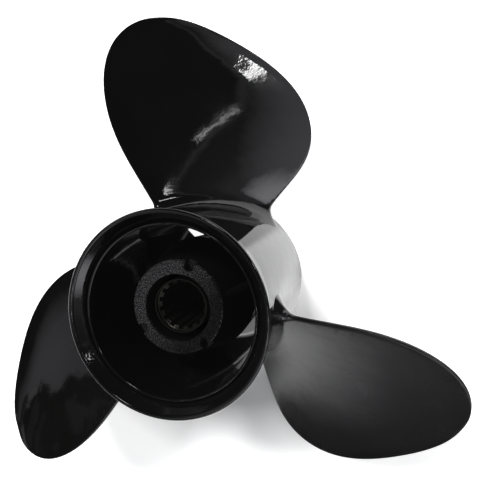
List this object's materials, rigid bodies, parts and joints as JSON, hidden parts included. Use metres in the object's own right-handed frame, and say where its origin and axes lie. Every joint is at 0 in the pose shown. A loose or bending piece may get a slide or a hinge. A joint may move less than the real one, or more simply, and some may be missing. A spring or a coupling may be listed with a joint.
{
  "type": "boat propeller",
  "caption": "Exhaust-hub boat propeller: bladed metal casting, pressed-on diffuser ring, and a splined sleeve cushioned by a rubber bush.",
  "frame": {"origin": "centre of the barrel's forward rim, where the pilot bore of the splined sleeve opens", "axes": "+Z aft along the shaft axis, +Y along the first blade, +X to the right seen from aft"},
  "size_m": [0.3228, 0.3013, 0.1325],
  "materials": {
    "gloss_black_paint": "gloss, slightly orange-peeled",
    "black_rubber": "matte",
    "sleeve_metal": "dark, painted over at the aft end"
  },
  "bodies": {
    "drive_sleeve": {"splined_sleeve": "sleeve_metal", "rubber_bush": "black_rubber"},
    "propeller": {"propeller_casting": "gloss_black_paint", "diffuser_ring": "gloss_black_paint"}
  },
  "joints": [
    {"name": "hub_wind_up", "type": "hinge", "parent": "drive_sleeve", "child": "propeller", "pos_m": [0, 0, 0.05], "axis": [0, 0, 1], "range_deg": [-10, 10], "stiffness_Nm_per_rad": 600}
  ]
}
